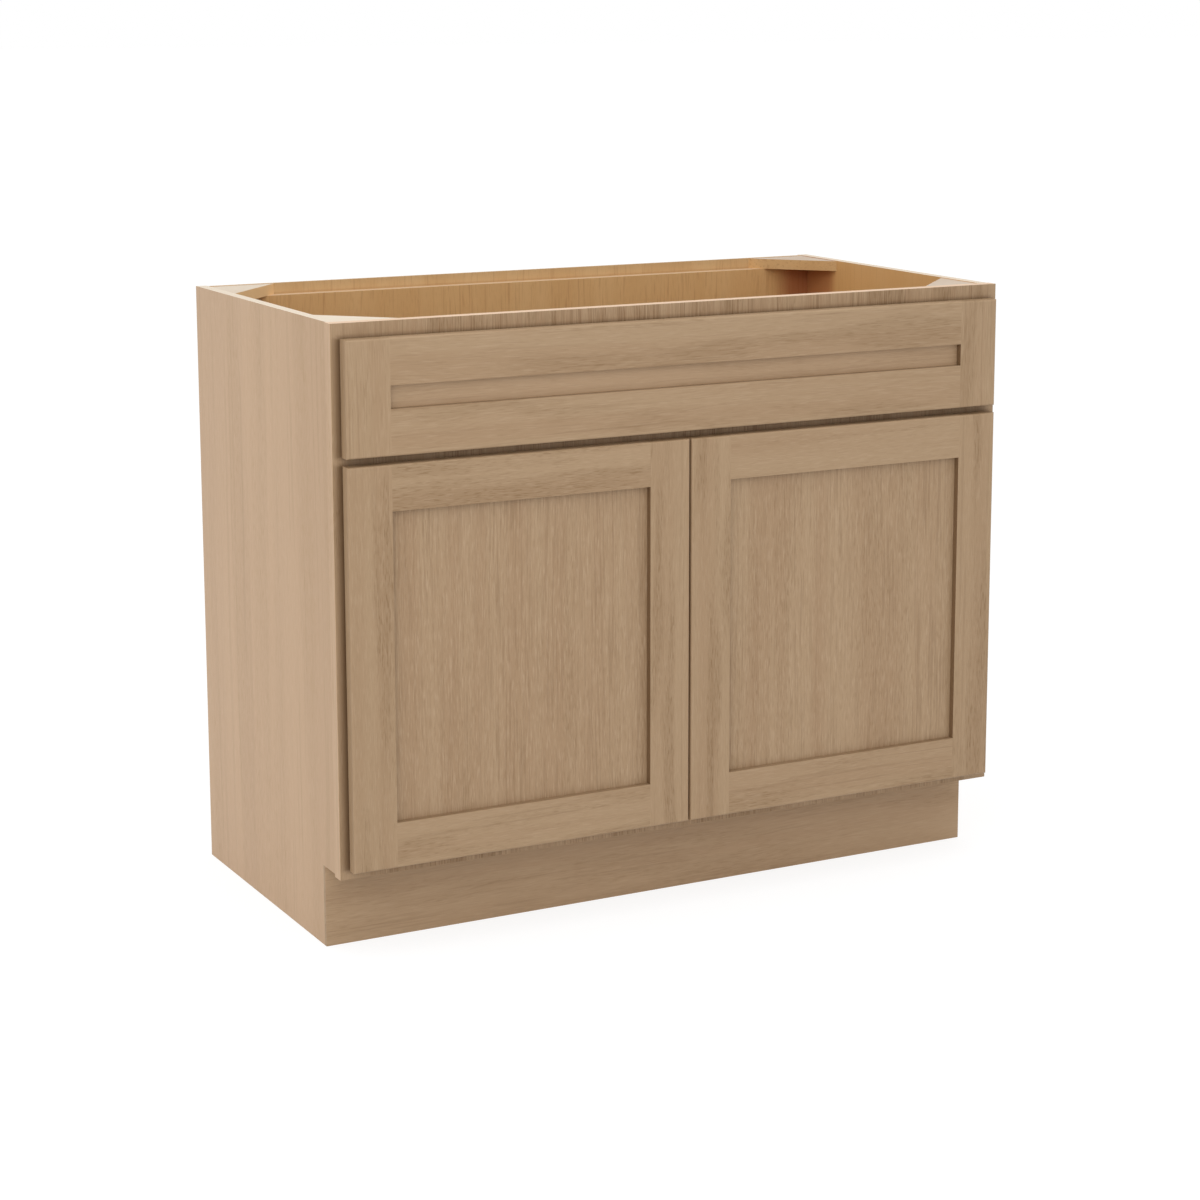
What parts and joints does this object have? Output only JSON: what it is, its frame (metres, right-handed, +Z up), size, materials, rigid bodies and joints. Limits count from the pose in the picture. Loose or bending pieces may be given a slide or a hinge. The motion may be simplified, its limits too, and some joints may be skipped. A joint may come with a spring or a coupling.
{
  "type": "vanity cabinet",
  "caption": "Freestanding framed vanity sink base without a top: a fixed drawer front over a pair of recessed-panel doors on concealed hinges, with corner blocks and a toe space.",
  "frame": {"origin": "on the floor, in the middle of the width and of the whole depth, doors included", "axes": "+X along the width towards the right-hand side as seen from the front, +Y from the doors to the back, +Z up"},
  "size_m": [1.0668, 0.5548, 0.8763],
  "materials": {
    "side_veneer": "satin stained veneer",
    "toe_veneer": "satin stained veneer",
    "stained_hardwood": "satin stained hardwood",
    "stained_panel": "satin stained veneer",
    "interior_maple": "clear satin maple",
    "block_wood": "raw pale board",
    "hinge_steel": "nickel-plated pressed steel",
    "bumper_rubber": "soft translucent pad"
  },
  "bodies": {
    "cabinet": {"back_panel": "interior_maple", "cabinet_floor": "interior_maple", "corner_block_front_left": "block_wood", "corner_block_front_right": "block_wood", "corner_block_rear_left": "block_wood", "corner_block_rear_right": "block_wood", "drawer_front_bottom_rail": "stained_hardwood", "drawer_front_brackets": "hinge_steel", "drawer_front_bumpers": "bumper_rubber", "drawer_front_left_stile": "stained_hardwood", "drawer_front_panel": "stained_panel", "drawer_front_right_stile": "stained_hardwood", "drawer_front_screws": "hinge_steel", "drawer_front_top_rail": "stained_hardwood", "frame_bottom_rail": "stained_hardwood", "frame_middle_rail": "stained_hardwood", "frame_stile_left": "stained_hardwood", "frame_stile_right": "stained_hardwood", "frame_top_rail": "stained_hardwood", "hanging_rail": "interior_maple", "left_hinge_arm_lower": "hinge_steel", "left_hinge_arm_upper": "hinge_steel", "left_hinge_plate_lower": "hinge_steel", "left_hinge_plate_upper": "hinge_steel", "left_plate_screws": "hinge_steel", "lower_back_rail": "interior_maple", "right_hinge_arm_lower": "hinge_steel", "right_hinge_arm_upper": "hinge_steel", "right_hinge_plate_lower": "hinge_steel", "right_hinge_plate_upper": "hinge_steel", "right_plate_screws": "hinge_steel", "side_panel_left": "side_veneer", "side_panel_right": "side_veneer", "toe_kick_board": "interior_maple", "toe_kick_skin": "toe_veneer"},
    "left_door": {"left_cup_screws": "hinge_steel", "left_door_bottom_rail": "stained_hardwood", "left_door_bumpers": "bumper_rubber", "left_door_hinge_stile": "stained_hardwood", "left_door_latch_stile": "stained_hardwood", "left_door_panel": "stained_panel", "left_door_top_rail": "stained_hardwood", "left_hinge_cup_lower": "hinge_steel", "left_hinge_cup_upper": "hinge_steel", "left_hinge_pins": "hinge_steel"},
    "right_door": {"right_cup_screws": "hinge_steel", "right_door_bottom_rail": "stained_hardwood", "right_door_bumpers": "bumper_rubber", "right_door_hinge_stile": "stained_hardwood", "right_door_latch_stile": "stained_hardwood", "right_door_panel": "stained_panel", "right_door_top_rail": "stained_hardwood", "right_hinge_cup_lower": "hinge_steel", "right_hinge_cup_upper": "hinge_steel", "right_hinge_pins": "hinge_steel"}
  },
  "joints": [
    {"name": "left_door_hinge", "type": "hinge", "parent": "cabinet", "child": "left_door", "pos_m": [-0.5132, -0.2664, 0.4064], "axis": [0, 0, -1], "range_deg": [0, 105]},
    {"name": "right_door_hinge", "type": "hinge", "parent": "cabinet", "child": "right_door", "pos_m": [0.5132, -0.2664, 0.4064], "axis": [0, 0, 1], "range_deg": [0, 105]}
  ]
}
